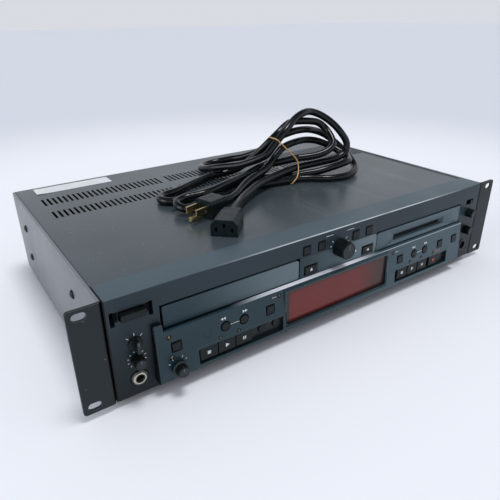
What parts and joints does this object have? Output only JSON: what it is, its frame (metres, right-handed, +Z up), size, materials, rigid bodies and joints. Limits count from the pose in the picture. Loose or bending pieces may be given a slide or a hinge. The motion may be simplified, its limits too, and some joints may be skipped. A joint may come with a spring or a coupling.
{
  "type": "minidisc and compact disc deck",
  "caption": "Rack-mounted minidisc and compact disc deck with a disc tray, a cartridge slot, sprung keys, knobs, a display window and its detachable mains lead lying on the cover.",
  "frame": {"origin": "middle of the deck's footprint on the surface its feet stand on", "axes": "+X to the right seen from the front, +Y from the controls to the back, +Z up"},
  "size_m": [0.4826, 0.3084, 0.169],
  "materials": {
    "slate_plastic": "moulded, satin",
    "panel_plastic": "moulded, satin",
    "key_plastic": "semi-gloss",
    "cover_paint": "satin paint",
    "plate_metal": "satin paint",
    "zinc_sheet": "plated",
    "screw_metal": "blackened",
    "foot_rubber": "matte",
    "window_plastic": "smoked, clear",
    "board_plastic": "circuit board",
    "socket_metal": "plated",
    "socket_plastic": "moulded",
    "supply_iron": "lacquered laminations",
    "lead_rubber": "satin",
    "lead_ends": "moulded",
    "hub_plastic": "moulded",
    "flap_plastic": "moulded"
  },
  "bodies": {
    "deck": {"front_bezel": "slate_plastic", "control_fascia": "panel_plastic", "slot_surround": "panel_plastic", "display_window": "window_plastic", "display_board": "board_plastic", "phones_jack": "socket_metal", "keyboard_socket": "socket_plastic", "chassis_pan": "zinc_sheet", "rear_panel": "zinc_sheet", "top_cover": "cover_paint", "left_side_plate": "plate_metal", "right_side_plate": "plate_metal", "case_screws": "screw_metal", "feet": "foot_rubber", "main_board": "board_plastic", "power_supply": "supply_iron", "mains_inlet": "socket_plastic", "rear_sockets": "socket_plastic", "cd_mechanism": "zinc_sheet", "md_mechanism": "zinc_sheet", "lead_hank": "lead_rubber", "lead_cable": "lead_rubber", "lead_connector": "lead_ends", "lead_plug": "lead_ends"},
    "key_button": {"key_button": "key_plastic"},
    "cd_search_back_button": {"cd_search_back_button": "key_plastic"},
    "cd_search_forward_button": {"cd_search_forward_button": "key_plastic"},
    "cd_select_button": {"cd_select_button": "key_plastic"},
    "md_select_button": {"md_select_button": "key_plastic"},
    "md_search_back_button": {"md_search_back_button": "key_plastic"},
    "md_search_forward_button": {"md_search_forward_button": "key_plastic"},
    "md_monitor_button": {"md_monitor_button": "key_plastic"},
    "md_record_mode_button": {"md_record_mode_button": "key_plastic"},
    "cd_stop_button": {"cd_stop_button": "key_plastic"},
    "cd_play_button": {"cd_play_button": "key_plastic"},
    "cd_ready_button": {"cd_ready_button": "key_plastic"},
    "md_stop_button": {"md_stop_button": "key_plastic"},
    "md_play_button": {"md_play_button": "key_plastic"},
    "md_ready_button": {"md_ready_button": "key_plastic"},
    "md_record_button": {"md_record_button": "key_plastic"},
    "time_button": {"time_button": "key_plastic"},
    "display_button": {"display_button": "key_plastic"},
    "cd_menu_button": {"cd_menu_button": "key_plastic"},
    "no_button": {"no_button": "key_plastic"},
    "yes_button": {"yes_button": "key_plastic"},
    "md_menu_button": {"md_menu_button": "key_plastic"},
    "open_close_button": {"open_close_button": "key_plastic"},
    "eject_button": {"eject_button": "key_plastic"},
    "power_button": {"power_button": "key_plastic"},
    "pitch_shaft": {"pitch_shaft": "key_plastic"},
    "pitch_knob": {"pitch_knob": "key_plastic"},
    "multi_dial": {"multi_dial": "key_plastic"},
    "phones_selector": {"phones_selector": "key_plastic"},
    "phones_level_knob": {"phones_level_knob": "key_plastic"},
    "input_left_knob": {"input_left_knob": "key_plastic"},
    "input_right_knob": {"input_right_knob": "key_plastic"},
    "input_switch": {"input_switch": "key_plastic"},
    "cd_tray": {"cd_tray": "panel_plastic"},
    "slot_flap": {"slot_flap": "flap_plastic"},
    "cd_spindle": {"cd_spindle": "hub_plastic"}
  },
  "joints": [
    {"name": "key_button_push", "type": "slide", "parent": "deck", "child": "key_button", "axis": [0, 1, 0], "range_m": [0, 0.001], "stiffness_N_per_m": 300},
    {"name": "cd_search_back_button_push", "type": "slide", "parent": "deck", "child": "cd_search_back_button", "axis": [0, 1, 0], "range_m": [0, 0.001], "stiffness_N_per_m": 300},
    {"name": "cd_search_forward_button_push", "type": "slide", "parent": "deck", "child": "cd_search_forward_button", "axis": [0, 1, 0], "range_m": [0, 0.001], "stiffness_N_per_m": 300},
    {"name": "cd_select_button_push", "type": "slide", "parent": "deck", "child": "cd_select_button", "axis": [0, 1, 0], "range_m": [0, 0.001], "stiffness_N_per_m": 300},
    {"name": "md_select_button_push", "type": "slide", "parent": "deck", "child": "md_select_button", "axis": [0, 1, 0], "range_m": [0, 0.001], "stiffness_N_per_m": 300},
    {"name": "md_search_back_button_push", "type": "slide", "parent": "deck", "child": "md_search_back_button", "axis": [0, 1, 0], "range_m": [0, 0.001], "stiffness_N_per_m": 300},
    {"name": "md_search_forward_button_push", "type": "slide", "parent": "deck", "child": "md_search_forward_button", "axis": [0, 1, 0], "range_m": [0, 0.001], "stiffness_N_per_m": 300},
    {"name": "md_monitor_button_push", "type": "slide", "parent": "deck", "child": "md_monitor_button", "axis": [0, 1, 0], "range_m": [0, 0.001], "stiffness_N_per_m": 300},
    {"name": "md_record_mode_button_push", "type": "slide", "parent": "deck", "child": "md_record_mode_button", "axis": [0, 1, 0], "range_m": [0, 0.001], "stiffness_N_per_m": 300},
    {"name": "cd_stop_button_push", "type": "slide", "parent": "deck", "child": "cd_stop_button", "axis": [0, 1, 0], "range_m": [0, 0.001], "stiffness_N_per_m": 300},
    {"name": "cd_play_button_push", "type": "slide", "parent": "deck", "child": "cd_play_button", "axis": [0, 1, 0], "range_m": [0, 0.001], "stiffness_N_per_m": 300},
    {"name": "cd_ready_button_push", "type": "slide", "parent": "deck", "child": "cd_ready_button", "axis": [0, 1, 0], "range_m": [0, 0.001], "stiffness_N_per_m": 300},
    {"name": "md_stop_button_push", "type": "slide", "parent": "deck", "child": "md_stop_button", "axis": [0, 1, 0], "range_m": [0, 0.001], "stiffness_N_per_m": 300},
    {"name": "md_play_button_push", "type": "slide", "parent": "deck", "child": "md_play_button", "axis": [0, 1, 0], "range_m": [0, 0.001], "stiffness_N_per_m": 300},
    {"name": "md_ready_button_push", "type": "slide", "parent": "deck", "child": "md_ready_button", "axis": [0, 1, 0], "range_m": [0, 0.001], "stiffness_N_per_m": 300},
    {"name": "md_record_button_push", "type": "slide", "parent": "deck", "child": "md_record_button", "axis": [0, 1, 0], "range_m": [0, 0.001], "stiffness_N_per_m": 300},
    {"name": "time_button_push", "type": "slide", "parent": "deck", "child": "time_button", "axis": [0, 1, 0], "range_m": [0, 0.001], "stiffness_N_per_m": 300},
    {"name": "display_button_push", "type": "slide", "parent": "deck", "child": "display_button", "axis": [0, 1, 0], "range_m": [0, 0.001], "stiffness_N_per_m": 300},
    {"name": "cd_menu_button_push", "type": "slide", "parent": "deck", "child": "cd_menu_button", "axis": [0, 1, 0], "range_m": [0, 0.001], "stiffness_N_per_m": 300},
    {"name": "no_button_push", "type": "slide", "parent": "deck", "child": "no_button", "axis": [0, 1, 0], "range_m": [0, 0.001], "stiffness_N_per_m": 300},
    {"name": "yes_button_push", "type": "slide", "parent": "deck", "child": "yes_button", "axis": [0, 1, 0], "range_m": [0, 0.001], "stiffness_N_per_m": 300},
    {"name": "md_menu_button_push", "type": "slide", "parent": "deck", "child": "md_menu_button", "axis": [0, 1, 0], "range_m": [0, 0.001], "stiffness_N_per_m": 300},
    {"name": "open_close_button_push", "type": "slide", "parent": "deck", "child": "open_close_button", "axis": [0, 1, 0], "range_m": [0, 0.001], "stiffness_N_per_m": 300},
    {"name": "eject_button_push", "type": "slide", "parent": "deck", "child": "eject_button", "axis": [0, 1, 0], "range_m": [0, 0.001], "stiffness_N_per_m": 300},
    {"name": "power_button_push", "type": "slide", "parent": "deck", "child": "power_button", "axis": [0, 1, 0], "range_m": [0, 0.003], "stiffness_N_per_m": 300},
    {"name": "pitch_shaft_push", "type": "slide", "parent": "deck", "child": "pitch_shaft", "axis": [0, 1, 0], "range_m": [0, 0.001], "stiffness_N_per_m": 300},
    {"name": "pitch_knob_turn", "type": "hinge", "parent": "pitch_shaft", "child": "pitch_knob", "pos_m": [-0.1683, -0.13715, 0.0232], "axis": [0, -1, 0], "range_deg": [-150, 150]},
    {"name": "multi_dial_turn", "type": "hinge", "parent": "deck", "child": "multi_dial", "pos_m": [0.0027, -0.13715, 0.0748], "axis": [0, -1, 0], "continuous": true},
    {"name": "phones_selector_turn", "type": "hinge", "parent": "deck", "child": "phones_selector", "pos_m": [-0.1974, -0.13715, 0.0528], "axis": [0, -1, 0], "range_deg": [-40, 40]},
    {"name": "phones_level_knob_turn", "type": "hinge", "parent": "deck", "child": "phones_level_knob", "pos_m": [-0.1974, -0.13715, 0.0386], "axis": [0, -1, 0], "range_deg": [-150, 150]},
    {"name": "input_left_knob_turn", "type": "hinge", "parent": "deck", "child": "input_left_knob", "pos_m": [0.2013, -0.13715, 0.063], "axis": [0, -1, 0], "range_deg": [-150, 150]},
    {"name": "input_right_knob_turn", "type": "hinge", "parent": "deck", "child": "input_right_knob", "pos_m": [0.2013, -0.13715, 0.0424], "axis": [0, -1, 0], "range_deg": [-150, 150]},
    {"name": "input_switch_slide", "type": "slide", "parent": "deck", "child": "input_switch", "axis": [1, 0, 0], "range_m": [-0.005, 0]},
    {"name": "cd_tray_slide", "type": "slide", "parent": "deck", "child": "cd_tray", "axis": [0, -1, 0], "range_m": [0, 0.136]},
    {"name": "slot_flap_hinge", "type": "hinge", "parent": "deck", "child": "slot_flap", "pos_m": [0.1197, -0.12795, 0.0684], "axis": [1, 0, 0], "range_deg": [0, 85], "stiffness_Nm_per_rad": 0.0006, "springref_deg": -28.65},
    {"name": "cd_spindle_turn", "type": "hinge", "parent": "deck", "child": "cd_spindle", "pos_m": [-0.1093, -0.06475, 0.059], "axis": [0, 0, 1], "continuous": true}
  ]
}
